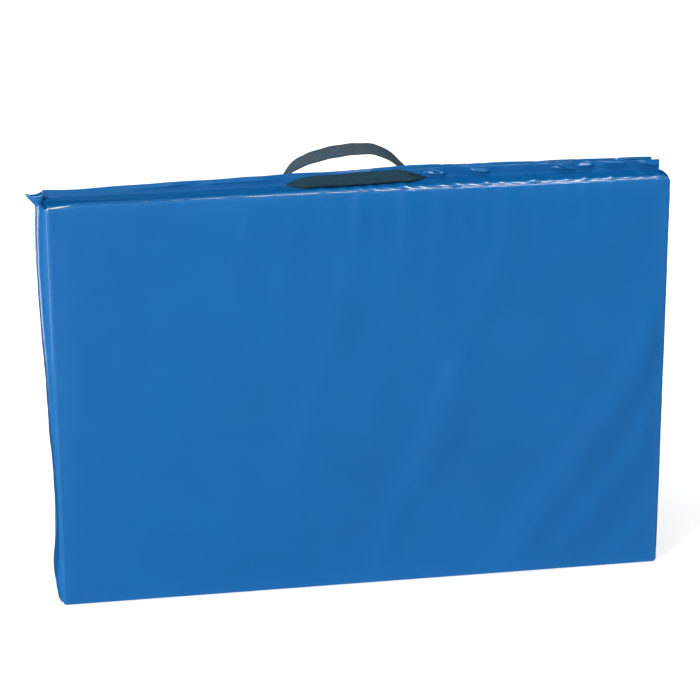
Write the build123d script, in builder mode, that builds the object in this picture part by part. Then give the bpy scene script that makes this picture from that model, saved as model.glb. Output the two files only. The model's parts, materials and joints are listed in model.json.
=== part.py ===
from build123d import *
import os

os.makedirs("parts", exist_ok=True)

# Folding gym mat: two foam panels in boxed vinyl covers, folded together and standing on one long
# edge. Millimetres. +X runs from the fold to the free end, +Y from the front panel to the rear
# panel, +Z up. The origin is under the middle of the folded mat, on the floor.

# ---- driving dimensions ----
panel_length = 915.0           # 3 ft, along X
panel_height = 610.0           # 2 ft, the mat's width, standing up
panel_thickness = 50.0         # 2 in each, so the folded pair is 100 mm thick
vinyl = 0.8                    # cover cloth
corner_radius = 6.0            # corners of the covers
edge_radius = 5.0              # turned edge between the outer sheet and the walls
parting_gap = 1.2              # between the two inner sheets when folded
fold_clearance = 1.5           # from the fold line to the panels' hinge ends
ply = 0.7                      # one layer of a seam flange
flange_height = 15.0           # stitched seam flange at the parting line
flange_reach = 450.0           # the flanges end this far from the middle
free_end_flange = 15.0         # how far the end flange stands out
webbing_width = 37.0           # handle webbing, nominal 38 mm
webbing_thick = 2.0
handle_half_span = 105.0       # from the middle to where each strap is sewn in
tab_length = 15.0              # sewn end of a strap
grip_half = 52.0               # half the stretch of strap that a hand holds
handle_rise = 43.0             # top of the standing handle above the panel
foam_gap = 0.4                 # between the foam and its cover

# ---- worked out from them ----
half_length = panel_length / 2
hinge_end = -half_length + fold_clearance
free_end = half_length
panel_span = free_end - hinge_end
panel_middle = (free_end + hinge_end) / 2
parting_face = parting_gap / 2
inner_back = parting_face + vinyl
wall_edge = panel_thickness - edge_radius
wall_depth = wall_edge - inner_back
flange_thick = 2 * ply
flange_face = parting_face + flange_thick
handle_zone = handle_half_span + tab_length + 2
bottom_step = flange_thick + 0.1
step_width = flange_height + 1.5

PANELS = [("front", -1), ("rear", 1)]


def side_plane(side, distance):
    """A plane facing +Y or -Y, at this distance from the parting plane; local y is up."""
    if side < 0:
        return Plane(origin=(0, -distance, 0), x_dir=(1, 0, 0), z_dir=(0, -1, 0))
    return Plane(origin=(0, distance, 0), x_dir=(-1, 0, 0), z_dir=(0, 1, 0))


def save(piece, label):
    """Label a finished piece and write its STEP file."""
    piece.label = label
    export_step(piece, f"parts/{label}.step")


def slab(side, label, x_range, y_range, z_range):
    """A flat strip with square edges; y_range is measured from the parting plane."""
    x_low, x_high = x_range
    y_near, y_far = y_range
    z_low, z_high = z_range
    with BuildPart() as strip:
        with BuildSketch(Plane.XY.offset(z_low)):
            with Locations(((x_low + x_high) / 2, side * (y_near + y_far) / 2)):
                Rectangle(x_high - x_low, y_far - y_near)
        extrude(amount=z_high - z_low)
    save(strip.part, label)


# ---- foam: each panel is filled by two laminated sheets ----
foam_near = inner_back + foam_gap
foam_far = panel_thickness - vinyl - foam_gap
foam_middle = (foam_near + foam_far) / 2
foam_bottom = bottom_step + vinyl + foam_gap
foam_top = panel_height - vinyl - foam_gap
foam_length = panel_span - 2 * (vinyl + foam_gap)

for name, side in PANELS:
    for layer, near, far in [("inner", foam_near, foam_middle), ("outer", foam_middle, foam_far)]:
        local_x = -side * panel_middle
        with BuildPart() as foam_sheet:
            with BuildSketch(side_plane(side, near)):
                with Locations((local_x, (foam_bottom + foam_top) / 2)):
                    RectangleRounded(foam_length, foam_top - foam_bottom, corner_radius)
            extrude(amount=far - near)
            if layer == "outer":
                outer_face = foam_sheet.faces().sort_by(Axis.Y)[-1 if side > 0 else 0]
                fillet(outer_face.edges(), radius=edge_radius)
        save(foam_sheet.part, f"{name}_foam_{layer}")

# ---- outer sheets: the big faces, turned back all round into a shallow tray ----
for name, side in PANELS:
    local_x = -side * panel_middle
    with BuildPart() as outer_sheet:
        with BuildSketch(side_plane(side, wall_edge)):
            with Locations((local_x, panel_height / 2)):
                RectangleRounded(panel_span, panel_height, corner_radius)
        extrude(amount=edge_radius)
        outer_face = outer_sheet.faces().sort_by(Axis.Y)[-1 if side > 0 else 0]
        fillet(outer_face.edges(), radius=edge_radius - 0.2)
        open_face = outer_sheet.faces().sort_by(Axis.Y)[0 if side > 0 else -1]
        offset(amount=-vinyl, openings=open_face)
    save(outer_sheet.part, f"{name}_outer_sheet")

# ---- inner sheets: the playing faces, which touch when the mat is folded ----
for name, side in PANELS:
    with BuildPart() as inner_sheet:
        with BuildSketch(side_plane(side, parting_face)):
            with Locations((-side * panel_middle, (panel_height + bottom_step) / 2)):
                RectangleRounded(panel_span, panel_height - bottom_step, corner_radius)
        extrude(amount=vinyl)
    save(inner_sheet.part, f"{name}_inner_sheet")

# ---- end walls: each turns the corner at its top and bottom ----
for name, side in PANELS:
    for end, x_end, facing in [("hinge_end", hinge_end, -1), ("free_end", free_end, 1)]:
        with BuildPart() as end_wall:
            with BuildSketch(side_plane(side, inner_back)):
                with Locations((-side * panel_middle, panel_height / 2)):
                    RectangleRounded(panel_span, panel_height, corner_radius)
                    RectangleRounded(
                        panel_span - 2 * vinyl,
                        panel_height - 2 * vinyl,
                        corner_radius - vinyl,
                        mode=Mode.SUBTRACT,
                    )
            extrude(amount=wall_depth)
            keep_x = x_end - facing * corner_radius
            cut_plane = Plane(origin=(keep_x, 0, 0), z_dir=(facing, 0, 0))
            split(bisect_by=cut_plane, keep=Keep.TOP)
        save(end_wall.part, f"{name}_{end}_wall")

# ---- long walls between the corners; the bottom one is stepped over its folded flange ----
wall_low = hinge_end + corner_radius
wall_high = free_end - corner_radius

for name, side in PANELS:
    slab(
        side,
        f"{name}_top_wall",
        (wall_low, wall_high),
        (inner_back, wall_edge),
        (panel_height - vinyl, panel_height),
    )
    with BuildPart() as bottom_wall:
        with BuildSketch(Plane.YZ.offset(wall_low)):
            with BuildLine():
                Polyline(
                    (side * inner_back, bottom_step),
                    (side * step_width, bottom_step),
                    (side * step_width, 0),
                    (side * wall_edge, 0),
                    (side * wall_edge, vinyl),
                    (side * (step_width + vinyl), vinyl),
                    (side * (step_width + vinyl), bottom_step + vinyl),
                    (side * inner_back, bottom_step + vinyl),
                    close=True,
                )
            make_face()
        extrude(amount=wall_high - wall_low)
    save(bottom_wall.part, f"{name}_bottom_wall")

# ---- seam flanges: two plies stitched together at the parting line. Along the top they stand up,
# but lie flat under the handles; along the bottom the mat stands on them ----
flange_stretches = [
    ("left", -flange_reach, -handle_zone, flange_face, flange_height),
    ("middle", -handle_zone, handle_zone, parting_face + flange_height, flange_thick),
    ("right", handle_zone, flange_reach, flange_face, flange_height),
]

for name, side in PANELS:
    for stretch, x_low, x_high, y_far, rise in flange_stretches:
        slab(
            side,
            f"{name}_top_flange_{stretch}",
            (x_low, x_high),
            (parting_face, y_far),
            (panel_height, panel_height + rise),
        )
    slab(
        side,
        f"{name}_bottom_flange",
        (-flange_reach, flange_reach),
        (parting_face, flange_height),
        (0, flange_thick),
    )
    slab(
        side,
        f"{name}_free_end_flange",
        (free_end, free_end + free_end_flange),
        (parting_face, flange_face),
        (corner_radius, panel_height - corner_radius),
    )

# ---- stitching: one row of thread along the standing stretches of each top flange ----
stitch_pitch = 6.0
stitch_length = 4.0
thread = 0.5
stitch_height = 4.0
stitch_run = flange_reach - handle_zone
stitch_count = int(stitch_run / stitch_pitch) - 1

for name, side in PANELS:
    with BuildPart() as stitching:
        with BuildSketch(Plane.XY.offset(panel_height + stitch_height)):
            for x_side in (-1, 1):
                x_middle = x_side * (flange_reach + handle_zone) / 2
                with Locations((x_middle, side * (flange_face + thread / 2))):
                    with GridLocations(stitch_pitch, 1, stitch_count, 1):
                        Rectangle(stitch_length, thread)
        extrude(amount=thread)
    save(stitching.part, f"{name}_seam_stitching")

# ---- fold: the inner sheets are one cloth, which turns back on itself here ----
fold_line = -half_length
with BuildPart() as fold_strip:
    with BuildSketch(Plane.XY.offset(corner_radius)):
        with Locations((fold_line, 0)):
            Circle(inner_back)
            Circle(parting_face, mode=Mode.SUBTRACT)
        with Locations((fold_line + inner_back, 0)):
            Rectangle(2 * inner_back, 2 * inner_back, mode=Mode.SUBTRACT)
        for side in (-1, 1):
            with Locations(((fold_line + hinge_end) / 2, side * (parting_face + vinyl / 2))):
                Rectangle(fold_clearance, vinyl)
    extrude(amount=panel_height - 2 * corner_radius)
save(fold_strip.part, "fold_strip")

# ---- ear: the top seam flange turning round the fold ----
ear_tip = fold_line - free_end_flange
ear_root = fold_line - inner_back - 0.2
ear_drop = 22.0
ear_rise = 6.0
ear_thick = 2.8
with BuildPart() as fold_ear:
    with BuildSketch(Plane.XZ.offset(-ear_thick / 2)):
        with BuildLine():
            Polyline(
                (ear_tip, panel_height + ear_rise),
                (ear_root, panel_height + 1),
                (ear_root, panel_height - ear_drop),
                (ear_tip + ear_rise, panel_height - ear_drop / 2),
                close=True,
            )
        make_face()
    extrude(amount=ear_thick)
save(fold_ear.part, "fold_ear")

# ---- handles: one webbing strap per panel, sewn into its seam at both ends ----
strap_floor = panel_height + flange_thick
tab_width = 13.0
tab_inset = 1.0
lying_height = strap_floor + 1.0 + webbing_thick / 2
standing_top = panel_height + handle_rise - webbing_thick / 2
strap_end = handle_half_span - 0.5

for name, side in PANELS:
    with BuildPart() as tabs:
        with BuildSketch(Plane.XY.offset(strap_floor)):
            for x_side in (-1, 1):
                x_middle = x_side * (handle_half_span + tab_length / 2)
                with Locations((x_middle, side * (parting_face + tab_inset + tab_width / 2))):
                    Rectangle(tab_length, tab_width)
        extrude(amount=webbing_thick)
    save(tabs.part, f"{name}_handle_tabs")


def strap(name, y_low, top_height):
    """A strap that bows up to top_height, made as a grip between two legs that flex."""
    stretches = [
        ("left_leg", -handle_half_span, -grip_half),
        ("grip", -grip_half, grip_half),
        ("right_leg", grip_half, handle_half_span),
    ]
    for stretch, x_low, x_high in stretches:
        with BuildPart() as webbing:
            with BuildSketch(Plane.XZ.offset(-y_low)):
                with BuildLine():
                    ThreePointArc(
                        (-strap_end, lying_height),
                        (0, top_height),
                        (strap_end, lying_height),
                    )
                trace(line_width=webbing_thick)
            extrude(amount=-webbing_width)
            split(bisect_by=Plane(origin=(x_low, 0, 0), z_dir=(1, 0, 0)), keep=Keep.TOP)
            split(bisect_by=Plane(origin=(x_high, 0, 0), z_dir=(-1, 0, 0)), keep=Keep.TOP)
        save(webbing.part, f"{name}_handle_{stretch}")


strap("front", -25.0, lying_height + 1.5)
strap("rear", 13.0, standing_top)
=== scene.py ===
import json
import math

import bmesh
import bpy
import numpy as np
from mathutils import Matrix, Vector, noise


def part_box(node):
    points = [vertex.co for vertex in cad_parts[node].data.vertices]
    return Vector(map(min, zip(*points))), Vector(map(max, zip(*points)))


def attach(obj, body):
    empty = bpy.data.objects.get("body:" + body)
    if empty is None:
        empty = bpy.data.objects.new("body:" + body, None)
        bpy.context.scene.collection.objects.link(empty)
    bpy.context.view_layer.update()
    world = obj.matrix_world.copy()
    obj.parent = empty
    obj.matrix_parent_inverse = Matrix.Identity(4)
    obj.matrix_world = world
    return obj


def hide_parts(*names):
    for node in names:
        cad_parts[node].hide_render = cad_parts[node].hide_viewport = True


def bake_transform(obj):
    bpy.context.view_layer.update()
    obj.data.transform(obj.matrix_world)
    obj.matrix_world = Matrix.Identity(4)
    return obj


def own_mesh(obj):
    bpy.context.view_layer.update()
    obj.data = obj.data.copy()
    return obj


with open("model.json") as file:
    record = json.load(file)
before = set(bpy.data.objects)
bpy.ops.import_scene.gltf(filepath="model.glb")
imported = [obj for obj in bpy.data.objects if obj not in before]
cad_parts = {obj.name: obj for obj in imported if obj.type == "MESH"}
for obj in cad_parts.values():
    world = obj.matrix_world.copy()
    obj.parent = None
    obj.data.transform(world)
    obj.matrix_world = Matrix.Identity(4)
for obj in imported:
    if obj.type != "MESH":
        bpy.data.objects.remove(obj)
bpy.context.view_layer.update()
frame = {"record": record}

# A folding gym mat, folded and standing on its long edge. Metres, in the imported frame: +X from the
# fold to the free end, +Y from the front panel to the rear one, +Z up.

# ---------------------------------------------------------------- places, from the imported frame
sheet_low, sheet_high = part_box("front_outer_sheet")
hinge_x = sheet_low[0]
free_x = sheet_high[0]
top_z = sheet_high[2]
face_y = -sheet_low[1]
parting_y = -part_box("front_inner_sheet")[1][1]
flange_y = -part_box("front_top_flange_left")[0][1]
flange_high_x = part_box("front_top_flange_right")[1][0]
ear_low, ear_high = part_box("fold_ear")
floor_flange_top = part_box("front_bottom_flange")[1][2]
floor_flange_reach = -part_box("front_bottom_flange")[0][1]
fold_joint = next(j for j in frame["record"]["behaviour"]["joints"] if j["name"] == "fold")
fold_x = fold_joint["pos_m"][0]

length = free_x - hinge_x
thick = face_y - parting_y
corner = 0.006
seam_depth = thick - corner
cloth = 0.0008
ply = (flange_y - parting_y) / 2

# The two panels, and which way each one's outer face looks along Y.
PANELS = {"front": -1.0, "rear": 1.0}


# ---------------------------------------------------------------- small maths helpers
def smooth(x, low, high):
    """0 below low, 1 above high, and smooth between them."""
    t = np.clip((np.asarray(x, float) - low) / (high - low), 0, 1)
    return t * t * (3 - 2 * t)


def bell(x, width):
    """1 at x = 0, falling off over width."""
    return np.exp(-((np.asarray(x, float) / width) ** 2))


def through(x, pairs):
    """A smooth curve through (place, value) pairs, level beyond the first and last."""
    places, values = (np.array(v, float) for v in zip(*pairs))
    slopes = np.gradient(values, places)
    x = np.clip(np.asarray(x, float), places[0], places[-1])
    i = np.clip(np.searchsorted(places, x) - 1, 0, len(places) - 2)
    step = places[i + 1] - places[i]
    t = (x - places[i]) / step
    start = values[i] * (1 + 2 * t) * (1 - t) ** 2 + slopes[i] * step * t * (1 - t) ** 2
    end = values[i + 1] * t * t * (3 - 2 * t) + slopes[i + 1] * step * t * t * (t - 1)
    return start + end


def fbm(points, scale, seed, octaves=3):
    """Smooth noise at each point, about -1 to 1, the same on every run."""
    shift = Vector((seed * 7.3, seed * 3.1, seed * 5.7))
    out = np.zeros(len(points))
    for octave in range(octaves):
        k = 2.0**octave / scale
        layer = [noise.noise(Vector(p) * k + shift) for p in points]
        out += np.array(layer) / 2.0**octave
    return out


def stations(size, fine, coarse):
    """Positions from 0 to size, close together at both ends and `coarse` apart between them."""
    middle_low = fine[-1]
    count = max(2, int(round((size - 2 * middle_low) / coarse)))
    middle = np.linspace(middle_low, size - middle_low, count + 1)
    return np.concatenate([fine[:-1], middle, size - np.array(fine[:-1])[::-1]])


# ---------------------------------------------------------------- materials
def new_material(name):
    """A node material with its Principled shader ready."""
    material = bpy.data.materials.new(name)
    material.use_nodes = True
    tree = material.node_tree
    shader = tree.nodes["Principled BSDF"]
    return material, tree, shader


def add(tree, kind, **settings):
    """A new node with its properties and, by name or index, its input values set."""
    node = tree.nodes.new(kind)
    inputs = settings.pop("inputs", {})
    for key, value in settings.items():
        setattr(node, key, value)
    for key, value in inputs.items():
        node.inputs[key].default_value = value
    return node


def ramp(tree, source, stops):
    """A colour ramp fed by source; stops are (position, grey or colour)."""
    node = tree.nodes.new("ShaderNodeValToRGB")
    elements = node.color_ramp.elements
    while len(elements) < len(stops):
        elements.new(0.5)
    for element, (position, value) in zip(elements, stops):
        element.position = position
        element.color = (value, value, value, 1) if isinstance(value, float) else (*value, 1)
    tree.links.new(source, node.inputs["Fac"])
    return node.outputs["Color"]


def texture(tree, kind, place, inputs, **settings):
    """A texture node laid over the given coordinates."""
    node = add(tree, f"ShaderNodeTex{kind}", inputs=inputs, **settings)
    tree.links.new(place, node.inputs["Vector"])
    return node


def maths(tree, operation, *operands):
    """The result of a maths node; each operand is a number or another node's output."""
    node = add(tree, "ShaderNodeMath", operation=operation)
    for socket, operand in zip(node.inputs, operands):
        if isinstance(operand, float):
            socket.default_value = operand
        else:
            tree.links.new(operand, socket)
    return node.outputs[0]


def bump(tree, height, strength, distance, under=None):
    """The normal that a height gives, on top of the normal under it where there is one."""
    node = add(tree, "ShaderNodeBump", inputs={"Strength": strength, "Distance": distance})
    tree.links.new(height, node.inputs["Height"])
    if under is not None:
        tree.links.new(under, node.inputs["Normal"])
    return node.outputs["Normal"]


def vinyl_material():
    """Blue PVC-coated cloth: a woven scrim that prints through a glossy, slightly grained coat."""
    material, tree, shader = new_material("blue_vinyl")
    link = tree.links.new
    place = add(tree, "ShaderNodeTexCoord").outputs["Object"]

    mottle = texture(tree, "Noise", place, {"Scale": 7.0, "Detail": 4.0, "Roughness": 0.6})
    blues = [(0.3, (0.0008, 0.109, 0.340)), (0.7, (0.0014, 0.121, 0.370))]
    colour = ramp(tree, mottle.outputs["Fac"], blues)

    worn = add(tree, "ShaderNodeAttribute", attribute_name="worn")
    dust = texture(tree, "Noise", place, {"Scale": 60.0, "Detail": 6.0, "Roughness": 0.7})
    scuff = maths(tree, "MULTIPLY", worn.outputs["Fac"], dust.outputs["Fac"])
    tint = add(tree, "ShaderNodeMix", data_type="RGBA", inputs={7: (0.026, 0.19, 0.49, 1)})
    link(scuff, tint.inputs[0])
    link(colour, tint.inputs[6])
    link(tint.outputs[2], shader.inputs["Base Color"])

    gloss = texture(tree, "Noise", place, {"Scale": 22.0, "Detail": 5.0, "Roughness": 0.65})
    link(ramp(tree, gloss.outputs["Fac"], [(0.25, 0.28), (0.75, 0.38)]), shader.inputs["Roughness"])

    grain = texture(tree, "Voronoi", place, {"Scale": 950.0, "Smoothness": 0.6}, feature="SMOOTH_F1")
    warp = texture(tree, "Wave", place, {"Scale": 330.0, "Distortion": 0.4}, bands_direction="X")
    weft = texture(tree, "Wave", place, {"Scale": 330.0, "Distortion": 0.4}, bands_direction="Z")
    weave = maths(tree, "ADD", warp.outputs["Fac"], weft.outputs["Fac"])
    fine = maths(tree, "MULTIPLY_ADD", weave, 0.5, grain.outputs["Distance"])
    crease = texture(tree, "Noise", place, {"Scale": 38.0, "Detail": 3.0, "Distortion": 0.8})
    soft = bump(tree, crease.outputs["Fac"], 0.10, 0.0015)
    link(bump(tree, fine, 0.16, 0.00025, soft), shader.inputs["Normal"])
    shader.inputs["Specular IOR Level"].default_value = 0.14
    shader.inputs["Coat Weight"].default_value = 0.75
    shader.inputs["Coat Roughness"].default_value = 0.17
    return material


def webbing_material(name, dark, pale):
    """Slate-grey polypropylene webbing: a herringbone of ribs across, darker at the selvedges."""
    material, tree, shader = new_material(name)
    link = tree.links.new
    along = add(tree, "ShaderNodeAttribute", attribute_name="along").outputs["Fac"]
    across = add(tree, "ShaderNodeAttribute", attribute_name="across").outputs["Fac"]
    place = add(tree, "ShaderNodeTexCoord").outputs["Object"]

    rib_pitch, cord_pitch = 0.0034, 0.0046
    zigzag = maths(tree, "PINGPONG", across, cord_pitch)
    slant = maths(tree, "ADD", along, zigzag)
    rib = maths(tree, "SINE", maths(tree, "MULTIPLY", slant, 2 * math.pi / rib_pitch))
    cords = maths(tree, "COSINE", maths(tree, "MULTIPLY", across, 2 * math.pi / cord_pitch))
    height = maths(tree, "MULTIPLY_ADD", rib, 1.7, cords)

    fuzz = texture(tree, "Noise", place, {"Scale": 520.0, "Detail": 3.0, "Roughness": 0.8})
    # The ribs' height also sets the colour, darker in the hollows between them: painted shade, on top of
    # the fibres' random fuzz.
    shade = maths(tree, "MULTIPLY_ADD", height, 0.12, 0.10)
    mixed = maths(tree, "MULTIPLY_ADD", fuzz.outputs["Fac"], 1.25, shade)
    middle = tuple((a + b) / 2 for a, b in zip(dark, pale))
    colour = ramp(tree, mixed, [(0.66, dark), (0.75, middle), (0.84, pale)])
    edge = add(tree, "ShaderNodeAttribute", attribute_name="selvedge").outputs["Fac"]
    tint = add(tree, "ShaderNodeMix", data_type="RGBA", inputs={7: (*dark, 1)})
    link(edge, tint.inputs[0])
    link(colour, tint.inputs[6])
    link(tint.outputs[2], shader.inputs["Base Color"])
    link(bump(tree, height, 0.7, 0.0004), shader.inputs["Normal"])
    shader.inputs["Roughness"].default_value = 0.78
    shader.inputs["Specular IOR Level"].default_value = 0.2
    shader.inputs["Sheen Weight"].default_value = 0.04
    shader.inputs["Sheen Roughness"].default_value = 0.5
    return material


def thread_material():
    """Twisted blue sewing thread."""
    material, tree, shader = new_material("thread")
    link = tree.links.new
    place = add(tree, "ShaderNodeTexCoord").outputs["Object"]
    twist = texture(tree, "Wave", place, {"Scale": 700.0}, bands_direction="DIAGONAL")
    # The colour follows the twist, darker in its grooves: painted shade.
    colour = ramp(tree, twist.outputs["Fac"], [(0.0, (0.008, 0.09, 0.28)), (1.0, (0.02, 0.17, 0.45))])
    link(colour, shader.inputs["Base Color"])
    link(bump(tree, twist.outputs["Fac"], 0.6, 0.0002), shader.inputs["Normal"])
    shader.inputs["Roughness"].default_value = 0.55
    return material


def foam_material():
    """Off-white closed-cell polyethylene foam."""
    material, tree, shader = new_material("foam")
    link = tree.links.new
    place = add(tree, "ShaderNodeTexCoord").outputs["Object"]
    cells = texture(tree, "Voronoi", place, {"Scale": 650.0})
    # The colour follows the cells, darker in their hollows: painted shade.
    greys = [(0.0, (0.70, 0.71, 0.68)), (0.8, (0.86, 0.87, 0.85))]
    link(ramp(tree, cells.outputs["Distance"], greys), shader.inputs["Base Color"])
    link(bump(tree, cells.outputs["Distance"], 0.5, 0.0006), shader.inputs["Normal"])
    shader.inputs["Roughness"].default_value = 0.85
    return material


VINYL = vinyl_material()
# The same webbing twice. The lying strap's copy is darker and bluer: painted shade and a painted blue
# reflection of the vinyl beside it. The standing strap's colours are the webbing's own.
WEBBING = {
    "front": webbing_material("webbing_painted_shade", (0.001, 0.012, 0.022), (0.016, 0.094, 0.150)),
    "rear": webbing_material("webbing_standing", (0.030, 0.054, 0.078), (0.090, 0.142, 0.190)),
}
THREAD = thread_material()
FOAM = foam_material()


# ---------------------------------------------------------------- mesh helpers
def new_object(name, vertices, faces, material):
    """A smooth-shaded mesh object."""
    mesh = bpy.data.meshes.new(name)
    mesh.from_pydata([tuple(v) for v in vertices], [], faces)
    mesh.validate()
    mesh.polygons.foreach_set("use_smooth", [True] * len(mesh.polygons))
    mesh.materials.append(material)
    obj = bpy.data.objects.new(name, mesh)
    bpy.context.scene.collection.objects.link(obj)
    return obj


def set_attribute(obj, name, values):
    """A number for each vertex, which a material can read."""
    attribute = obj.data.attributes.new(name, "FLOAT", "POINT")
    attribute.data.foreach_set("value", np.asarray(values, np.float32))


def set_wear(obj, amount):
    """The same wear all over a piece of vinyl."""
    set_attribute(obj, "worn", np.full(len(obj.data.vertices), amount))


def box_grid(a, d, h):
    """The surface of a box as one closed grid. Returns grid keys, and faces as (keys, side name)."""
    ends = (len(a) - 1, len(d) - 1, len(h) - 1)
    faces = []
    for i in range(ends[0]):
        for k in range(ends[2]):
            outer = [(i, k), (i + 1, k), (i + 1, k + 1), (i, k + 1)]
            inner = [(i, k), (i, k + 1), (i + 1, k + 1), (i + 1, k)]
            faces.append((tuple((p, ends[1], q) for p, q in outer), "outer"))
            faces.append((tuple((p, 0, q) for p, q in inner), "inner"))
    for i in range(ends[0]):
        for j in range(ends[1]):
            top = [(i + 1, j), (i + 1, j + 1), (i, j + 1), (i, j)]
            bottom = [(i, j + 1), (i + 1, j + 1), (i + 1, j), (i, j)]
            faces.append((tuple((p, q, ends[2]) for p, q in top), "top"))
            faces.append((tuple((p, q, 0) for p, q in bottom), "bottom"))
    for j in range(ends[1]):
        for k in range(ends[2]):
            hinge = [(j, k), (j + 1, k), (j + 1, k + 1), (j, k + 1)]
            free = [(j, k), (j, k + 1), (j + 1, k + 1), (j + 1, k)]
            faces.append((tuple((0, p, q) for p, q in hinge), "hinge"))
            faces.append((tuple((ends[0], p, q) for p, q in free), "free"))
    keys = {}
    for corners, _ in faces:
        for key in corners:
            keys.setdefault(key, len(keys))
    return keys, faces


def shell(name, points, normals, faces, thickness, material):
    """A closed thin solid: the faces, a copy set back along the normals, and a rim between them."""
    used = sorted({v for face in faces for v in face})
    place = {v: i for i, v in enumerate(used)}
    count = len(used)
    front = np.asarray(points)[used]
    back = front - np.asarray(normals)[used] * thickness
    front_faces = [tuple(place[v] for v in face) for face in faces]
    rim = {}
    for face in front_faces:
        for a, b in zip(face, face[1:] + face[:1]):
            if (b, a) in rim:
                del rim[(b, a)]
            else:
                rim[(a, b)] = True
    back_faces = [tuple(v + count for v in reversed(face)) for face in front_faces]
    rim_faces = [(b, a, a + count, b + count) for a, b in rim]
    obj = new_object(name, np.vstack([front, back]), front_faces + back_faces + rim_faces, material)
    return obj, used


def surface_normals(grid):
    """A unit normal at each point of an (n, m, 3) grid."""
    along = np.gradient(grid, axis=0)
    across = np.gradient(grid, axis=1)
    normal = np.cross(along, across)
    return normal / np.maximum(np.linalg.norm(normal, axis=2, keepdims=True), 1e-12)


def thin_solid(name, grid, thickness, material, rounded=True):
    """A closed strip around an (n, m, 3) middle surface, with its two long edges rounded."""
    rows, columns, _ = grid.shape
    normal = surface_normals(grid)
    profile = np.ones(columns)
    if rounded:
        profile[[0, -1]] = 0.45
        profile[[1, -2]] = 0.9
    lift = normal * (thickness / 2) * profile[None, :, None]
    loops = np.concatenate([grid + lift, (grid - lift)[:, ::-1]], axis=1)
    ring = 2 * columns
    vertices = loops.reshape(-1, 3)
    faces = []
    for i in range(rows - 1):
        for j in range(ring):
            k = (j + 1) % ring
            faces.append((i * ring + j, i * ring + k, (i + 1) * ring + k, (i + 1) * ring + j))
    last = (rows - 1) * ring
    for j in range(columns - 1):
        k = ring - 1 - j
        faces.append((j, k, k - 1, j + 1))
        faces.append((last + j, last + j + 1, last + k - 1, last + k))
    obj = new_object(name, vertices, faces, material)
    tidy_normals(obj)
    return obj


def tidy_normals(obj):
    """Point every face of a closed mesh outwards."""
    mesh = bmesh.new()
    mesh.from_mesh(obj.data)
    bmesh.ops.recalc_face_normals(mesh, faces=mesh.faces)
    mesh.to_mesh(obj.data)
    mesh.free()


# ---------------------------------------------------------------- how the panels have settled
# Pairs of (X, metres). The handles pull the parting seam up, the rear panel sinks towards the fold,
# and its free end stands a little apart from the front panel.
SEAM_RIDGE = [(-0.30, 0.0), (-0.20, 0.0014), (-0.12, 0.0026), (0.0, 0.0042), (0.10, 0.0054)]
SEAM_RIDGE += [(0.20, 0.0048), (0.30, 0.0042), (0.40, 0.0030), (0.4575, 0.0018)]
REAR_SINK = [(-0.4575, -0.0045), (-0.36, -0.0042), (-0.25, -0.0016), (-0.10, 0.0)]
REAR_SPLAY = [(-0.10, 0.0), (0.0, 0.0008), (0.10, 0.0030), (0.20, 0.0056)]
REAR_SPLAY += [(0.30, 0.0078), (0.4725, 0.0105)]
# How far the front panel's top corner droops at the fold, and how far apart the gathers are.
CORNER_DROOP = 0.0045
GATHER_PITCH = 0.024


def settle(name, points):
    """Move points of one panel's soft pieces, an (n, 3) array, to where they have settled."""
    x, y, z = points.T
    high = smooth(z, 0.8 * top_z, top_z)
    drift = 0.004 * np.sin(x * 37) + 0.003 * np.sin(x * 91)
    gather = 0.5 + 0.5 * np.cos(2 * math.pi * (x + drift) / GATHER_PITCH)
    reach = 0.0065 + 0.0075 * gather * smooth(x, -0.12, 0.02)
    inward = 1 - np.exp(-np.maximum(face_y - corner - np.abs(y), 0) / reach)
    moved = points.copy()
    moved[:, 2] += through(x, SEAM_RIDGE) * high * inward
    if name == "front":
        near_face = smooth(np.abs(y), 0.4 * face_y, face_y)
        near_fold = 1 - smooth(x, hinge_x + 0.012, hinge_x + 0.05)
        moved[:, 2] -= CORNER_DROOP * near_fold * near_face * high
    if name == "rear":
        moved[:, 2] += through(x, REAR_SINK) * high
        moved[:, 1] += through(x, REAR_SPLAY)
    return moved


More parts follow.
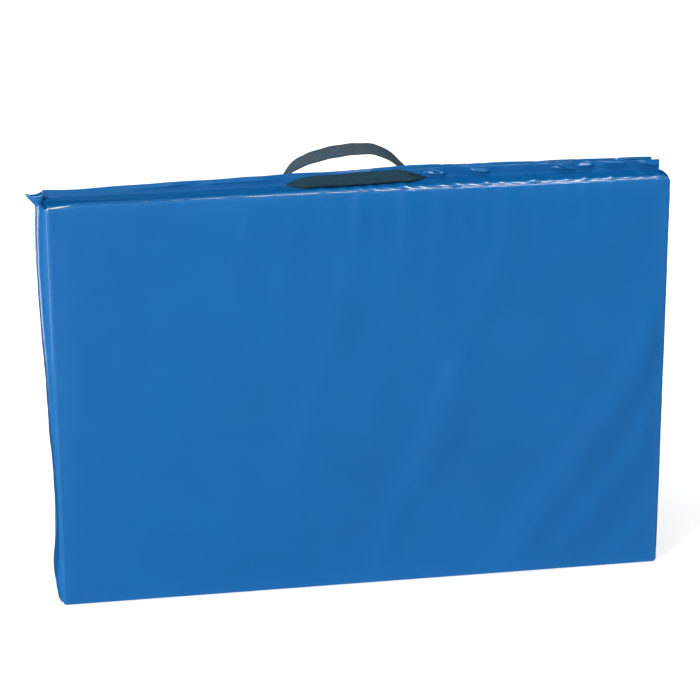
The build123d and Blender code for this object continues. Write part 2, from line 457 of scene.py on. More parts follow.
# ---------------------------------------------------------------- panel covers
# Pulls in the big faces, where the cloth slants across a band and then sinks back. Each has the middle
# of its band as three points, given as shares of the face from its hinge end and its bottom edge, and
# then, in metres, how far it rises, how wide the slanting band is and how wide the return is.
FACE_FOLDS = {
    "front": [
        (((1.010, 0.735), (0.881, 0.407), (0.690, -0.020)), 0.0066, 0.046, 0.042),
        (((1.010, 0.490), (0.900, 0.236), (0.750, -0.020)), 0.0048, 0.036, 0.048),
        (((1.010, 0.185), (0.953, 0.099), (0.880, -0.020)), 0.0020, 0.014, 0.030),
        (((0.650, 0.640), (0.607, 0.421), (0.558, 0.225)), 0.0044, 0.036, 0.045),
        (((0.570, 0.290), (0.533, 0.172), (0.510, -0.020)), 0.0020, 0.018, 0.034),
        (((0.717, 1.000), (0.704, 0.806), (0.646, 0.630)), 0.0017, 0.022, 0.036),
        (((0.475, 1.000), (0.442, 0.692), (0.348, 0.250)), 0.0017, 0.026, 0.040),
        (((0.565, 1.000), (0.529, 0.671), (0.470, 0.220)), 0.0014, 0.020, 0.036),
        (((0.615, 1.000), (0.601, 0.768), (0.590, 0.580)), 0.0008, 0.018, 0.026),
        (((0.320, 1.000), (0.306, 0.919), (0.265, 0.700)), 0.0008, 0.018, 0.024),
        (((0.383, 1.000), (0.370, 0.888), (0.333, 0.640)), 0.0008, 0.020, 0.026),
        (((-0.01, 0.560), (0.080, 0.383), (0.190, 0.190)), 0.0012, 0.030, 0.070),
        (((0.080, 0.760), (0.127, 0.554), (0.220, 0.240)), 0.0005, 0.026, 0.040),
        (((0.990, 0.960), (0.875, 0.771), (0.740, 0.480)), -0.0010, 0.044, 0.060),
    ],
    "rear": [
        (((0.300, 0.960), (0.400, 0.550), (0.560, 0.020)), 0.0036, 0.042, 0.046),
        (((-0.01, 0.640), (0.120, 0.350), (0.300, -0.02)), 0.0034, 0.040, 0.044),
        (((0.700, 0.940), (0.740, 0.550), (0.860, 0.080)), 0.0016, 0.026, 0.040),
        (((0.120, 0.980), (0.200, 0.720), (0.330, 0.480)), 0.0014, 0.024, 0.036),
        (((1.010, 0.580), (0.930, 0.340), (0.860, 0.140)), -0.0014, 0.034, 0.050),
    ],
}


def soft_ramp(x, blend=0.007):
    """x above 0 and 0 below it, rounded off where the two meet."""
    return (x + np.sqrt(x * x + blend * blend)) / 2


def fold_height(a, h, line, height, width, fall):
    """How far one pull lifts the face at each point (a, h)."""
    start, middle, end = (np.array([u * length, v * top_z]) for u, v in line)
    bend = 2 * middle - (start + end) / 2
    best = np.full(a.shape, 9.0)
    side = np.zeros(a.shape)
    progress = np.zeros(a.shape)
    for t in np.linspace(0, 1, 61):
        centre = (1 - t) ** 2 * start + 2 * t * (1 - t) * bend + t * t * end
        heading = 2 * (1 - t) * (bend - start) + 2 * t * (end - bend)
        heading = heading / np.linalg.norm(heading)
        da, dh = a - centre[0], h - centre[1]
        distance = np.hypot(da, dh)
        nearer = distance < best
        best = np.where(nearer, distance, best)
        side = np.where(nearer, heading[0] * dh - heading[1] * da, side)
        progress = np.where(nearer, t, progress)
    rise = (soft_ramp(side + width / 2) - soft_ramp(side - width / 2)) / width
    back = (soft_ramp(side - width / 2) - soft_ramp(side - width / 2 - fall)) / fall

    # a pull fades where it starts or ends on the face, and runs on where it reaches an edge
    ends = np.ones(a.shape)
    if 0 <= line[0][0] <= 1 and line[0][1] < 1:
        ends = smooth(progress, -0.02, 0.22)
    if line[2][1] >= 0:
        beyond = np.sqrt(np.maximum(best**2 - side**2, 0))
        ends = ends * (1 - smooth(progress, 0.80, 1.02)) * bell(beyond, 0.03)
    return height * (rise - back) * ends


def seam_puckers(t, seed, pitch=GATHER_PITCH):
    """Gathers along a seam: small uneven peaks, 0 to 1."""
    drift = 0.0035 * np.sin(t * 37 + seed) + 0.002 * np.sin(t * 91 + 2 * seed)
    phase = (t + drift) / pitch
    peak = 1 - np.abs(2 * (phase - np.floor(phase)) - 1)
    size = 0.55 + 0.45 * np.sin(np.floor(phase) * 2.4 + seed)
    return peak**1.5 * size


# Where the cover has its rows of points, in metres: this far apart on the flat, and closer inwards from
# each edge, up the depth of a wall and across the outer seam.
COVER_SPACING = 0.0055
EDGE_ROWS = [0, 0.0012, 0.0024, 0.0038, 0.006, 0.009, 0.013, 0.018]
DEPTH_ROWS = [0, 0.0012, 0.003, 0.006, 0.010, 0.015, 0.020, 0.025]
DEPTH_ROWS += [0.029, 0.0325, 0.0355, 0.038, 0.040, 0.0415, 0.0427]
SEAM_ROWS = [-0.0006, 0, 0.0007, 0.0015, 0.0026, 0.0042]

# The seeds of each panel's unevenness: broad, small, and the gathers of its top and of its ends.
SEEDS = {"front": (3, 5, 1.0, 2.0), "rear": (11, 17, 4.0, 6.0)}
END_GATHER_PITCH = 0.031

# How far the walls at the fold bulge, as (share of the height, metres).
FOLD_END_BULGE = [(0.0, 0.0045), (0.06, 0.0085), (0.12, 0.0050)]
FOLD_END_BULGE += [(0.5, 0.0078), (0.93, 0.0130), (1.0, 0.0110)]

# Each cloth's length and width laid flat. The outer sheet turns over all four rounded edges and a wall
# over half of them, and the bulging walls at the fold are cut fuller than the rest.
edge_turn = corner * (math.pi - 2)
fold_end_fullness = 1.14
FLATS = {
    "outer_sheet": (length + edge_turn, top_z + edge_turn),
    "inner_sheet": (length - 0.3 * corner, top_z - 0.3 * corner),
    "top_wall": (length + edge_turn / 2, seam_depth),
    "bottom_wall": (length + edge_turn / 2, seam_depth),
    "hinge_end_wall": (top_z + edge_turn / 2, fold_end_fullness * seam_depth),
    "free_end_wall": (top_z + edge_turn / 2, seam_depth),
}

# Which way each side of the panel faces, in its own axes: along, outwards and up.
FACING = {
    "outer": (0, 1, 0),
    "inner": (0, -1, 0),
    "top": (0, 0, 1),
    "bottom": (0, 0, -1),
    "hinge": (-1, 0, 0),
    "free": (1, 0, 0),
}


def cover_region(which, depth):
    """The piece of cloth that a quad of the cover belongs to, from its side and its mean depth."""
    if which == "outer" or (which != "inner" and depth > seam_depth):
        return "outer_sheet"
    if which == "inner":
        return "inner_sheet"
    if which in ("hinge", "free"):
        return f"{which}_end_wall"
    return f"{which}_wall"


def cover_surface(name, side):
    """A panel's whole vinyl surface: its points, normals, quads, each quad's cloth, and its wear."""
    a_line = stations(length, EDGE_ROWS, COVER_SPACING)
    h_line = stations(top_z, EDGE_ROWS, COVER_SPACING)
    d_line = np.array(DEPTH_ROWS + [seam_depth + row for row in SEAM_ROWS] + [thick])
    keys, faces = box_grid(a_line, d_line, h_line)
    index = np.array(list(keys))
    a, d, h = a_line[index[:, 0]], d_line[index[:, 1]], h_line[index[:, 2]]

    # round the box: every point lies within `corner` of a smaller box
    inset_a = np.clip(a, corner, length - corner)
    inset_h = np.clip(h, corner, top_z - corner)
    inset_d = np.minimum(d, seam_depth)
    away = np.stack([a - inset_a, d - inset_d, h - inset_h], 1)
    reach = np.linalg.norm(away, axis=1)
    direction = away / np.maximum(reach, 1e-9)[:, None]
    inner = (index[:, 1] == 0) & (reach < corner * 0.999)
    direction[inner & (reach < 1e-9)] = (0, -1, 0)
    kept = np.minimum(1, corner / np.maximum(reach, 1e-9))[:, None]
    base = np.stack([inset_a, inset_d, inset_h], 1) + away * kept

    outward = np.where(inner, 0, np.clip(direction[:, 1], 0, 1))
    upward = np.where(inner, 0, np.clip(direction[:, 2], 0, 1))
    downward = np.where(inner, 0, np.clip(-direction[:, 2], 0, 1))
    hinge_ward = np.where(inner, 0, np.clip(-direction[:, 0], 0, 1))
    free_ward = np.where(inner, 0, np.clip(direction[:, 0], 0, 1))

    # distance along the cloth from the outer seam: positive on the big face, negative on the walls
    to_edge = np.minimum.reduce([a, length - a, h, top_z - h])
    turned = np.arcsin(np.clip(direction[:, 1], 0, 1)) * corner
    on_face = outward > 0.999
    seam = np.where(on_face, corner * math.pi / 2 + np.maximum(to_edge - corner, 0), turned)
    seam = np.where(d < seam_depth, d - seam_depth, seam)

    noise_points = np.stack([base[:, 0], side * (base[:, 1] + 0.1), base[:, 2]], 1)
    broad_seed, small_seed, top_seed, end_seed = SEEDS[name]
    broad = fbm(noise_points, 0.22, broad_seed, 2)
    small = fbm(noise_points, 0.045, small_seed, 3)

    u, v = a / length, h / top_z
    pillow = (1 - (2 * u - 1) ** 6) * (1 - (2 * v - 1) ** 6)
    face = 0.0022 * pillow + 0.0005 * broad + 0.00022 * small
    for line, height, width, fall in FACE_FOLDS[name]:
        face += fold_height(a, h, line, height, width, fall)
    face *= smooth(to_edge, 0, 0.03)

    # gathers: strongest along the middle and right of the top seam
    busy = 0.25 + smooth(u, 0.38, 0.5) * (1 - 0.65 * smooth(u, 0.86, 0.97))
    gathers = seam_puckers(a, top_seed)
    near_top = smooth(v, 0.93, 1.0)
    face_gather = 0.0011 * busy * gathers * bell(seam - 0.012, 0.012) * near_top
    uneven = a + 0.016 * broad + 0.006 * np.sin(a * 41)
    ripples = 0.00024 * busy * np.sin(uneven * 160) * smooth(v, 0.70, 0.94) * bell(v - 0.96, 0.13)
    end_gathers = seam_puckers(h, end_seed, END_GATHER_PITCH)
    face_end = 0.0005 * end_gathers * bell(seam - 0.010, 0.010) * (1 - near_top)
    outer_lift = outward * (face + (face_gather + ripples + face_end) * smooth(to_edge, -0.001, 0.004))

    belly = 1 - (2 * np.clip(d / seam_depth, 0, 1) - 1) ** 2
    wall_gather = 0.0018 * busy * gathers * bell(seam + 0.008, 0.008)
    top_lift = upward * (0.0012 * belly + wall_gather + 0.0008 * broad * belly + 0.0005 * small)
    plump = 1 - np.abs(2 * np.clip(d / seam_depth, 0, 1) - 1) ** 2.2
    bulge = through(v, FOLD_END_BULGE)
    hinge_lift = smooth(hinge_ward, 0.72, 1.0) * plump * (bulge + 0.0008 * small)
    wall_end_gather = 0.0006 * end_gathers * bell(seam + 0.008, 0.008)
    free_lift = free_ward * (0.0022 * belly + 0.0008 * small + wall_end_gather)
    seam_dip = -0.0019 * bell(seam, 0.0020) + 0.0008 * bell(seam - 0.0050, 0.0030)
    seam_dip *= 1 - 0.7 * downward
    lift = outer_lift + top_lift + hinge_lift + free_lift + np.where(inner, 0, seam_dip)

    placed = base + direction * lift[:, None]
    inner_wave = 0.0004 * np.sin(u * 11 + v * 5) ** 2 * pillow
    on_inner = index[:, 1] == 0
    placed[on_inner, 1] = np.maximum(placed[on_inner, 1], 0) + inner_wave[on_inner]
    over_flange = downward * (1 - smooth(d, 0.014, 0.0175)) * (floor_flange_top + 0.0003)
    placed[:, 2] = np.maximum(placed[:, 2], 0) + over_flange

    points = np.stack([hinge_x + placed[:, 0], side * (parting_y + placed[:, 1]), placed[:, 2]], 1)
    points = settle(name, points)
    quads = np.array([[keys[key] for key in corners] for corners, _ in faces])
    wanted = np.array([FACING[which] for _, which in faces]) * (1, side, 1)
    wrong = np.einsum("ij,ij->i", quad_normals(points, quads), wanted) < 0
    quads[wrong] = quads[wrong][:, ::-1]
    normals = vertex_normals(points, quads)
    depths = [np.mean([d_line[j] for _, j, _ in corners]) for corners, _ in faces]
    cloths = [cover_region(which, depth) for (_, which), depth in zip(faces, depths)]
    worn = np.clip(bell(seam, 0.006) * 0.8 + 0.25 * bell(to_edge, 0.02) * (d > seam_depth), 0, 1)
    return points, normals, quads.tolist(), cloths, worn


def panel_cover(name, side):
    """One panel's vinyl cover: an outer sheet, four walls and an inner sheet, cut along the seams."""
    points, normals, quads, cloths, worn = cover_surface(name, side)
    for region, flat in FLATS.items():
        faces = [tuple(quad) for quad, place in zip(quads, cloths) if place == region]
        obj, used = shell(f"{name}_{region}_cloth", points, normals, faces, cloth, VINYL)
        set_attribute(obj, "worn", np.tile(worn[used], 2))
        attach(obj, f"{name}_panel")
        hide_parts(f"{name}_{region}")
        if region == "hinge_end_wall":
            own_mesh(obj)


def quad_normals(points, quads):
    """The normal of each quad, as long as its area."""
    p = points[quads]
    return np.cross(p[:, 2] - p[:, 0], p[:, 3] - p[:, 1]) / 2


def vertex_normals(points, quads):
    """Unit normals at the points of a closed mesh whose faces all point outwards."""
    face_normals = quad_normals(points, quads)
    normals = np.zeros_like(points)
    for corner_number in range(4):
        np.add.at(normals, quads[:, corner_number], face_normals)
    return normals / np.maximum(np.linalg.norm(normals, axis=1, keepdims=True), 1e-12)


for name, side in PANELS.items():
    panel_cover(name, side)


# ---------------------------------------------------------------- foam inside the covers
def foam_sheet(name, layer):
    """One laminated sheet of foam, with soft edges and a slightly uneven cut face."""
    node = f"{name}_foam_{layer}"
    low, high = (np.array(c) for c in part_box(node))
    size = high - low
    rows = [0, 0.002, 0.005]
    lines = [stations(size[0], rows, 0.03), np.linspace(0, size[1], 5), stations(size[2], rows, 0.03)]
    keys, faces = box_grid(*lines)
    index = np.array(list(keys))
    point = np.stack([lines[axis][index[:, axis]] for axis in range(3)], 1)
    radius = 0.004
    inset = np.clip(point, radius, size - radius)
    away = point - inset
    reach = np.maximum(np.linalg.norm(away, axis=1), 1e-9)
    point = inset + away * np.minimum(1, radius / reach)[:, None]
    point += low
    point += fbm(point, 0.05, 23, 2)[:, None] * (away / reach[:, None]) * 0.0002
    point = settle(name, point)
    quads = [tuple(keys[key] for key in corners) for corners, _ in faces]
    obj = new_object(f"{node}_sheet", point, quads, FOAM)
    tidy_normals(obj)
    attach(obj, f"{name}_panel")
    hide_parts(node)


for name in PANELS:
    for layer in ("inner", "outer"):
        foam_sheet(name, layer)


# ---------------------------------------------------------------- seam flanges and their stitching
handle_zone_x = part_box("front_top_flange_middle")[1][0]
FLANGE_ROWS = np.concatenate([[0.0], np.linspace(0.0005, 0.0145, 26), [0.0150]])
flange_thick = 2 * ply * 0.85

# For each panel's top flange, (X, lean at its base, lean at its tip, height): leans are radians from
# upright, towards +Y. The front one stands up behind the handle that lies in front of it, and the rear
# one leans back under the standing handle.
TOP_FLANGES = {
    "front": [
        (-0.465, 0.05, 0.35, 0.0128),
        (-0.400, 0.05, 0.75, 0.0118),
        (-0.350, 0.02, 0.50, 0.0138),
        (-0.280, -0.04, 0.25, 0.0152),
        (-0.200, -0.02, 0.20, 0.0158),
        (-0.126, -0.02, 0.08, 0.0158),
        (-0.095, 0.10, 0.14, 0.0136),
        (0.000, 0.12, 0.14, 0.0126),
        (0.085, 0.10, 0.06, 0.0140),
        (0.126, 0.00, -0.12, 0.0150),
        (0.220, 0.02, -0.02, 0.0146),
        (0.330, 0.04, 0.04, 0.0148),
        (0.400, 0.04, 0.04, 0.0150),
        (0.458, 0.02, 0.02, 0.0156),
    ],
    "rear": [
        (-0.465, 0.05, 0.35, 0.0118),
        (-0.400, 0.05, 0.75, 0.0106),
        (-0.350, 0.02, 0.50, 0.0126),
        (-0.280, -0.04, 0.25, 0.0140),
        (-0.200, 0.02, 0.26, 0.0152),
        (-0.130, 0.30, 0.45, 0.0160),
        (-0.080, 0.46, 0.52, 0.0162),
        (0.010, 0.44, 0.52, 0.0164),
        (0.070, 0.30, 0.40, 0.0184),
        (0.120, 0.28, 0.40, 0.0172),
        (0.220, 0.30, 0.46, 0.0164),
        (0.330, 0.32, 0.50, 0.0160),
        (0.458, 0.30, 0.44, 0.0162),
    ],
}
# Creases in the top flanges: two ends as (X, share of the height), how far each lifts the cloth towards
# the front, and half its width, in metres.
FLANGE_CREASES = {
    "front": [
        ((0.098, 0.62), (0.128, 0.34), 0.0036, 0.0016),
        ((0.108, 0.86), (0.129, 0.36), 0.0030, 0.0013),
        ((0.168, 0.80), (0.194, 0.50), 0.0050, 0.0022),
        ((0.290, 0.66), (0.322, 0.30), 0.0034, 0.0015),
        ((0.300, 0.92), (0.326, 0.28), 0.0034, 0.0014),
        ((0.330, 0.74), (0.352, 0.70), 0.0040, 0.0017),
        ((0.372, 0.92), (0.402, 0.78), 0.0030, 0.0014),
        ((0.425, 0.96), (0.452, 0.55), 0.0048, 0.0024),
        ((-0.330, 0.70), (-0.250, 0.82), 0.0009, 0.0022),
        ((-0.220, 0.78), (-0.130, 0.74), 0.0010, 0.0022),
    ],
    "rear": [
        ((0.285, 0.90), (0.335, 0.80), 0.0042, 0.0018),
        ((0.395, 0.88), (0.446, 0.84), 0.0042, 0.0018),
        ((0.150, 0.90), (0.210, 0.78), 0.0010, 0.0020),
        ((-0.040, 0.85), (0.030, 0.80), 0.0009, 0.0018),
    ],
}


def crease_lift(name, x, share):
    """How far creases push the top flange out, for x as a column and share of height as a row."""
    height = FLANGE_ROWS[-1]
    lift = np.zeros(np.broadcast_shapes(x.shape, share.shape))
    for (x0, s0), (x1, s1), rise, half_width in FLANGE_CREASES[name]:
        run, climb = x1 - x0, (s1 - s0) * height
        size = math.hypot(run, climb)
        t = ((x - x0) * run + (share - s0) * height * climb) / size**2
        off = ((x - x0) * climb - (share - s0) * height * run) / size
        ridge = np.interp(off / half_width, [-1.0, 1.0, 1.8], [0.0, 1.0, 0.0])
        lift += rise * ridge * smooth(t, -0.15, 0.25) * (1 - smooth(t, 0.8, 1.1))
    return lift


def top_flange_grid(name, x):
    """The middle surface of a top flange, as an (n, m, 3) grid from its base to its tip."""
    side = PANELS[name]
    places, base_lean, tip_lean, height = zip(*TOP_FLANGES[name])
    column = x[:, None]
    share = FLANGE_ROWS[None, :] / FLANGE_ROWS[-1]
    foot_angle = through(x, list(zip(places, base_lean)))[:, None]
    tip_angle = through(x, list(zip(places, tip_lean)))[:, None]
    size = through(x, list(zip(places, height)))[:, None] * (1 + 0.02 * np.sin(column * 61 + side))
    loose = smooth(np.abs(column), handle_zone_x, handle_zone_x + 0.05)
    sway = 0.10 * np.sin(column * 44 + 2 * side) + 0.09 * np.sin(column * 97 + side)
    sway = sway + 0.05 * np.sin(column * 213)
    angle = foot_angle * (1 - share) + tip_angle * share + sway * share**1.5 * (0.35 + 0.65 * loose)
    # the cloth turns up out of the panel's top in a small fillet
    angle = angle - side * 1.35 * np.exp(-share / 0.10)
    step = np.diff(share, prepend=0) * size
    y = np.cumsum(np.sin(angle) * step, axis=1)
    z = np.cumsum(np.cos(angle) * step, axis=1)
    lift = crease_lift(name, column, share)
    y -= lift * np.cos(angle)
    z += lift * np.sin(angle)
    foot = np.stack([x, np.full(len(x), side * (parting_y + ply + 0.0015)), np.full(len(x), top_z)], 1)
    foot = settle(name, foot)
    return np.stack([np.repeat(column, share.size, 1), foot[:, 1:2] + y, foot[:, 2:3] + z], 2)


def top_flange(name):
    """The stitched flange along the top of one panel."""
    last_x = flange_high_x + (0.0045 if name == "front" else -0.0030)
    grid = top_flange_grid(name, np.arange(fold_x + 0.0004, last_x, 0.0010))
    obj = thin_solid(f"{name}_top_flange", grid, flange_thick, VINYL)
    finish_trim(obj, name, [f"{name}_top_flange_{part}" for part in ("left", "middle", "right")], 0.5)
    return grid


def finish_trim(obj, name, nodes, wear):
    """Ride, replaced nodes and wear of a piece of vinyl trim on one panel."""
    set_wear(obj, wear)
    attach(obj, f"{name}_panel")
    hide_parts(*nodes)


def end_flange(name):
    """The flange down the free end, standing out and curling a little."""
    side = PANELS[name]
    low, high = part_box(f"{name}_free_end_flange")
    z = np.arange(low[2], high[2], 0.005)
    share = FLANGE_ROWS / FLANGE_ROWS[-1]
    curl = 0.30 + 0.14 * np.sin(z * 23 + side) + 0.08 * np.sin(z * 61)
    angle = curl[:, None] * share[None, :] + 0.16 * np.sin(z[:, None] * 215 + side) * share**2
    width = 1 - 0.55 * smooth(z, high[2] - 0.030, high[2])
    step = np.diff(FLANGE_ROWS, prepend=0)[None, :] * width[:, None]
    x = low[0] - 0.0005 + np.cumsum(np.cos(angle) * step, axis=1)
    y = side * (parting_y + ply + np.cumsum(np.sin(angle) * step, axis=1))
    grid = np.stack([x, y, np.repeat(z[:, None], len(share), 1)], 2)
    grid = settle(name, grid.reshape(-1, 3)).reshape(grid.shape)
    obj = thin_solid(f"{name}_end_flange", grid, flange_thick, VINYL)
    finish_trim(obj, name, [f"{name}_free_end_flange"], 0.5)
    return grid


def floor_flange(name):
    """The flange under the mat, pressed flat between the panel and the floor."""
    side = PANELS[name]
    low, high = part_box(f"{name}_bottom_flange")
    x = np.arange(low[0], high[0] + 0.001, 0.012)
    reach = np.linspace(0, floor_flange_reach - parting_y, 7)
    y = side * (parting_y + reach[None, :] * (1 - 0.02 * np.sin(x[:, None] * 40) ** 2))
    z = np.full((len(x), len(reach)), floor_flange_top / 2 + 0.0001)
    grid = np.stack([np.repeat(x[:, None], len(reach), 1), y, z], 2)
    grid = settle(name, grid.reshape(-1, 3)).reshape(grid.shape)
    obj = thin_solid(f"{name}_floor_flange", grid, floor_flange_top * 0.9, VINYL)
    finish_trim(obj, name, [f"{name}_bottom_flange"], 0.8)


def stitch_row(name, centres, headings, normals, label):
    """Thread showing as a row of short raised stitches: one rounded bar for each centre."""
    half, radius = 0.0019, 0.00038
    profile = [(-1.0, 0.25), (-0.75, 0.85), (0.0, 1.15), (0.75, 0.85), (1.0, 0.25)]
    vertices, faces = [], []
    for centre, heading, normal in zip(centres, headings, normals):
        cross = np.cross(heading, normal)
        start = len(vertices)
        for along, size in profile:
            for turn in range(6):
                angle = turn * math.pi / 3
                ring = math.cos(angle) * normal + math.sin(angle) * cross
                vertices.append(centre + heading * half * along + ring * radius * size)
        for i in range(len(profile) - 1):
            for j in range(6):
                k = (j + 1) % 6
                corners = (i * 6 + j, i * 6 + k, i * 6 + 6 + k, i * 6 + 6 + j)
                faces.append(tuple(start + n for n in corners))
        last = start + (len(profile) - 1) * 6
        faces.append(tuple(start + j for j in reversed(range(6))))
        faces.append(tuple(last + j for j in range(6)))
    obj = new_object(f"{name}_{label}", vertices, faces, THREAD)
    tidy_normals(obj)
    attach(obj, f"{name}_panel")
    return obj


def unit_rows(vectors):
    """Each row of an (n, 3) array at length 1."""
    return vectors / np.linalg.norm(vectors, axis=1, keepdims=True)


def stitches_on(grid, row, lift, every):
    """Centres, headings and normals of stitches along one row of a strip's grid."""
    line = grid[:, row]
    normal = surface_normals(grid)[:, row]
    run = np.concatenate([[0], np.cumsum(np.linalg.norm(np.diff(line, axis=0), axis=1))])
    marks = np.arange(every, run[-1] - every, every)

    def at(places, values):
        return np.stack([np.interp(places, run, values[:, axis]) for axis in range(3)], 1)

    centre = at(marks, line)
    ahead = unit_rows(at(marks + 0.001, line) - centre)
    across = unit_rows(at(marks, normal))
    both = [(centre + across * lift, ahead, across), (centre - across * lift, ahead, -across)]
    return [np.concatenate(parts) for parts in zip(*both)]


stitch_line, stitch_pitch = 5, 0.0052
for name in PANELS:
    floor_flange(name)
    row = stitches_on(top_flange(name), stitch_line, flange_thick / 2, stitch_pitch)
    thread = stitch_row(name, *row, "top_stitches")
    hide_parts(f"{name}_seam_stitching")
    row = stitches_on(end_flange(name), stitch_line, flange_thick / 2, stitch_pitch)
    stitch_row(name, *row, "end_stitches")


# ---------------------------------------------------------------- the fold and its ear
def fold_strip():
    """The cloth that joins the two playing faces, turned back on itself along the fold."""
    low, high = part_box("fold_strip")
    z = np.arange(low[2], high[2] + 0.001, 0.008)
    turn = np.linspace(-math.pi / 2, math.pi / 2, 13)
    radius = parting_y + cloth / 2
    straight = hinge_x - fold_x
    swell = 0.0004 * (1 + np.sin(z * 57)) * np.sin(z * 13) ** 2
    arc_x = fold_x - (radius + swell[:, None]) * np.cos(turn)[None, :]
    arc_y = np.repeat(radius * np.sin(turn)[None, :], len(z), 0)
    near = np.full((len(z), 1), hinge_x + 0.0006)
    x = np.concatenate([near, near - straight / 2, arc_x, near - straight / 2, near], axis=1)
    edge = np.full((len(z), 2), radius)
    y = np.concatenate([-edge, arc_y, edge], axis=1)
    grid = np.stack([x, y, np.repeat(z[:, None], x.shape[1], 1)], 2)
    obj = thin_solid("fold_strip_cloth", grid, cloth, VINYL, rounded=False)
    set_wear(obj, 0.9)
    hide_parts("fold_strip")
    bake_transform(obj)


def fold_ear():
    """The stiff seam flange going round the fold: a pointed ear, open at the top like a beak."""
    reach = fold_x - ear_low[0] + 0.0095
    drop = ear_high[2] - ear_low[2]
    around = np.linspace(-1, 1, 33)
    down = np.linspace(0, 1, 17)
    out = 1 - np.abs(around) ** 1.15
    taper = 1 - down**1.3
    x = fold_x + 0.0005 - np.outer(0.008 + (reach - 0.008) * taper, out)
    y = np.outer(0.0030 + 0.0065 * taper, np.sign(around) * np.abs(around) ** 0.8)
    y += 0.0009 * np.outer(np.sin(5 * down), 1 - around**2)
    beak = 0.0030 * out**1.5 + 0.0040 * np.abs(around) ** 4
    top = top_z + 0.0045 + beak - 0.0012 * np.sin(np.abs(around) * math.pi)
    z = top[None, :] - np.outer(down, drop * (0.70 + 0.30 * (1 - out)))
    grid = np.stack([x, y, z], 2).transpose(1, 0, 2)
    obj = thin_solid("fold_ear_flange", grid, ply * 1.4, VINYL)
    set_wear(obj, 0.7)
    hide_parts("fold_ear")
    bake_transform(obj)


fold_strip()
fold_ear()


# ---------------------------------------------------------------- webbing handles
strap_thick = 0.0020
strap_across = np.linspace(-1, 1, 33)

# Each strap's two edges as it lies: (X, near edge's Y and height, far edge's Y and height), in metres,
# heights above the top of the panels. The ends are gathered into the parting seam.
STRAPS = {
    "front": [
        (-0.1060, -0.0050, 0.0030, -0.0030, 0.0046),
        (-0.0970, -0.0200, 0.0032, -0.0028, 0.0080),
        (-0.0860, -0.0310, 0.0046, -0.0026, 0.0118),
        (-0.0660, -0.0335, 0.0058, -0.0026, 0.0148),
        (-0.0280, -0.0335, 0.0060, -0.0026, 0.0154),
        (0.0000, -0.0330, 0.0062, -0.0026, 0.0172),
        (0.0385, -0.0300, 0.0068, -0.0026, 0.0182),
        (0.0600, -0.0285, 0.0070, -0.0026, 0.0184),
        (0.0740, -0.0270, 0.0068, -0.0028, 0.0150),
        (0.0870, -0.0180, 0.0058, -0.0030, 0.0092),
        (0.0990, -0.0060, 0.0040, -0.0030, 0.0052),
    ],
    "rear": [
        (-0.1140, 0.0080, 0.0035, 0.0120, 0.0030),
        (-0.1070, 0.0100, 0.0100, 0.0300, 0.0095),
        (-0.0975, 0.0120, 0.0170, 0.0450, 0.0180),
        (-0.0870, 0.0130, 0.0226, 0.0500, 0.0274),
        (-0.0700, 0.0130, 0.0288, 0.0500, 0.0360),
        (-0.0450, 0.0130, 0.0350, 0.0500, 0.0436),
        (-0.0150, 0.0130, 0.0392, 0.0500, 0.0482),
        (0.0100, 0.0130, 0.0404, 0.0500, 0.0490),
        (0.0280, 0.0130, 0.0384, 0.0500, 0.0474),
        (0.0430, 0.0130, 0.0322, 0.0500, 0.0422),
        (0.0560, 0.0130, 0.0240, 0.0500, 0.0338),
        (0.0700, 0.0120, 0.0140, 0.0450, 0.0205),
        (0.0820, 0.0100, 0.0060, 0.0260, 0.0085),
        (0.0900, 0.0090, 0.0025, 0.0120, 0.0025),
    ],
}


def strap_half(name, half_name, crease):
    """Half of a strap, from its sewn end to its middle, as a closed woven band."""
    table = STRAPS[name]
    end = table[0][0] if half_name == "left" else table[-1][0]
    x = np.linspace(min(end, 0), max(end, 0), 90)
    places = [row[0] for row in table]
    columns = [[row[i] for row in table] for i in (1, 2, 3, 4)]
    near_y, near_z, far_y, far_z = (through(x, list(zip(places, column))) for column in columns)
    near = np.stack([x, near_y, top_z + near_z], 1)
    far = np.stack([x, far_y, top_z + far_z], 1)
    q = strap_across
    grid = near[:, None, :] * (1 - q[None, :, None]) / 2 + far[:, None, :] * (1 + q[None, :, None]) / 2
    width = np.linalg.norm(far - near, axis=1)
    full = width.max()
    up = surface_normals(grid)
    up *= np.sign(up[..., 2:3])
    bow = 0.0010 * (1 - q[None, :] ** 2) * (width[:, None] / full)
    fold = -crease * np.outer(bell(x, 0.07), bell(q - 0.05, 0.12))
    pleats = 0.0011 * np.outer(1 - smooth(width / full, 0.5, 1.0), np.cos(q * 9))
    wave = 0.0003 * np.sin(x[:, None] * 210 + 2.5 * q[None, :])
    grid = grid + up * (bow + fold + wave + pleats)[..., None]
    obj = thin_solid(f"{name}_strap_{half_name}", grid, strap_thick, WEBBING[name])
    middle = (near + far) / 2
    run = np.concatenate([[0], np.cumsum(np.linalg.norm(np.diff(middle, axis=0), axis=1))])
    run -= np.interp(0.0, x, run)
    both = np.concatenate([q, q[::-1]])
    ones = np.ones((len(x), 1))
    set_attribute(obj, "along", (run[:, None] * np.ones((1, len(both)))).ravel())
    set_attribute(obj, "across", (ones * (both + 1)[None, :] * full / 2).ravel())
    set_attribute(obj, "selvedge", (ones * smooth(np.abs(both), 0.90, 0.97)[None, :]).ravel())
    nodes = ["handle_tabs", "handle_grip", f"handle_{half_name}_leg"]
    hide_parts(*[f"{name}_{node}" for node in nodes])
    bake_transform(obj)


for half in ("left", "right"):
    strap_half("front", half, 0.0016)
    strap_half("rear", half, 0.0)


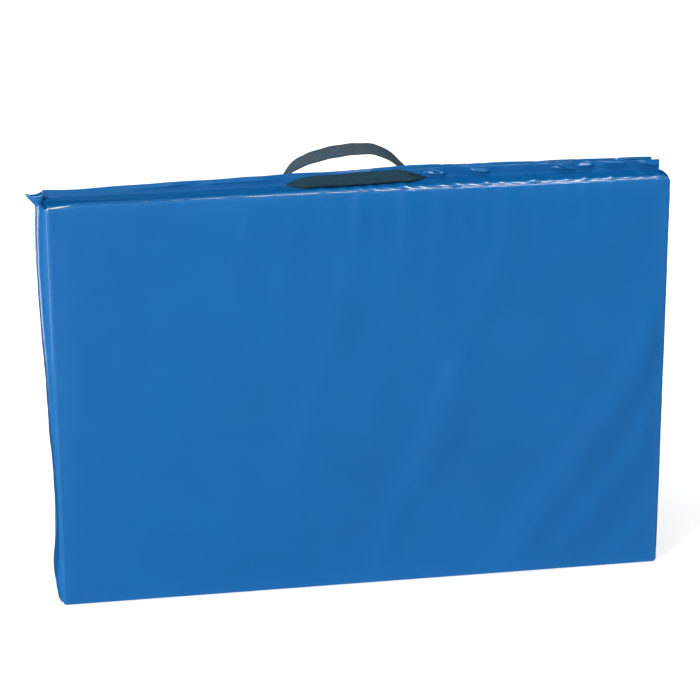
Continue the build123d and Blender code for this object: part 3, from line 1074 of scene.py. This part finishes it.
# ---------------------------------------------------------------- floor, camera and light
def stage_floor():
    """A plain pale floor under the mat that glows, weakly beside the mat and more strongly away from it:
    painted light that fades the floor to white.
    """
    bpy.ops.mesh.primitive_plane_add(size=10, location=(0, 0, 0))
    floor = bpy.context.object
    floor.name = "floor"
    material, tree, shader = new_material("floor")
    shader.inputs["Base Color"].default_value = (0.90, 0.90, 0.90, 1)
    shader.inputs["Roughness"].default_value = 0.9
    shader.inputs["Specular IOR Level"].default_value = 0.1
    shader.inputs["Emission Color"].default_value = (1, 1, 1, 1)
    place = add(tree, "ShaderNodeTexCoord").outputs["Object"]
    away = add(tree, "ShaderNodeVectorMath", operation="LENGTH")
    tree.links.new(place, away.inputs[0])
    glow = add(tree, "ShaderNodeMapRange", inputs={1: 0.4, 2: 1.8, 3: 0.55, 4: 1.1})
    tree.links.new(away.outputs["Value"], glow.inputs[0])
    tree.links.new(glow.outputs[0], shader.inputs["Emission Strength"])
    floor.data.materials.append(material)
    floor.visible_glossy = False


def studio_camera():
    """The camera, from the front left and a little above."""
    azimuth, elevation, roll = math.radians(10.03), math.radians(17.60), math.radians(-0.24)
    focal_share, distance = 3.2886, 3.5358
    aim_right, aim_up = -0.0150, 0.3394
    ahead = math.cos(elevation)
    forward = Vector((math.sin(azimuth) * ahead, math.cos(azimuth) * ahead, -math.sin(elevation)))
    right = Vector((math.cos(azimuth), -math.sin(azimuth), 0))
    up = right.cross(forward)
    rolled_right = math.cos(roll) * right + math.sin(roll) * up
    rolled_up = -math.sin(roll) * right + math.cos(roll) * up
    data = bpy.data.cameras.new("camera")
    data.sensor_width = 36
    data.lens = 36 * focal_share
    camera = bpy.data.objects.new("camera", data)
    bpy.context.scene.collection.objects.link(camera)
    place = rolled_right * aim_right + rolled_up * aim_up - forward * distance
    axes = Matrix([rolled_right, rolled_up, -forward]).transposed()
    camera.matrix_world = Matrix.Translation(place) @ axes.to_4x4()
    data.clip_end = 60
    bpy.context.scene.camera = camera


def area_light(name, place, aim, size, power):
    """A soft box, aimed at a point."""
    data = bpy.data.lights.new(name, "AREA")
    data.shape = "RECTANGLE"
    data.size, data.size_y = size
    data.energy = power
    light = bpy.data.objects.new(name, data)
    bpy.context.scene.collection.objects.link(light)
    light.location = place
    light.rotation_euler = (Vector(aim) - Vector(place)).to_track_quat("-Z", "Y").to_euler()


def studio_world():
    """A white room to the camera; to the mat, a dim one that brightens towards the front left."""
    world = bpy.data.worlds.new("studio")
    world.use_nodes = True
    tree = world.node_tree
    link = tree.links.new
    room = tree.nodes["Background"]
    backdrop = add(tree, "ShaderNodeBackground", inputs={"Color": (1, 1, 1, 1), "Strength": 1.0})
    direction = add(tree, "ShaderNodeTexCoord").outputs["Generated"]
    towards = add(tree, "ShaderNodeVectorMath", operation="DOT_PRODUCT", inputs={1: (-0.55, -0.80, 0.25)})
    link(direction, towards.inputs[0])
    brightening = [(0.10, 0.006), (0.67, 0.012), (0.82, 0.50), (1.0, 1.0)]
    shade = ramp(tree, towards.outputs["Value"], brightening)
    link(shade, room.inputs["Color"])
    room.inputs["Strength"].default_value = 1.0
    path = add(tree, "ShaderNodeLightPath")
    mix = add(tree, "ShaderNodeMixShader")
    link(path.outputs["Is Camera Ray"], mix.inputs[0])
    link(room.outputs[0], mix.inputs[1])
    link(backdrop.outputs[0], mix.inputs[2])
    link(mix.outputs[0], tree.nodes["World Output"].inputs["Surface"])
    bpy.context.scene.world = world


stage_floor()
studio_camera()
studio_world()
area_light("key", (-7.2, -6.8, 4.2), (0, 0, 0.3), (3.0, 2.4), 730)
area_light("overhead", (0.70, -0.22, 2.4), (0.3, 0, 0.6), (0.65, 0.17), 17)
area_light("boom", (-0.35, -0.35, 2.4), (-0.2, 0, 0.6), (1.2, 0.3), 5)
area_light("side", (-1.7, 1.1, 0.5), (-0.45, 0, 0.4), (0.5, 1.4), 10)
bpy.context.scene.view_settings.view_transform = "Standard"
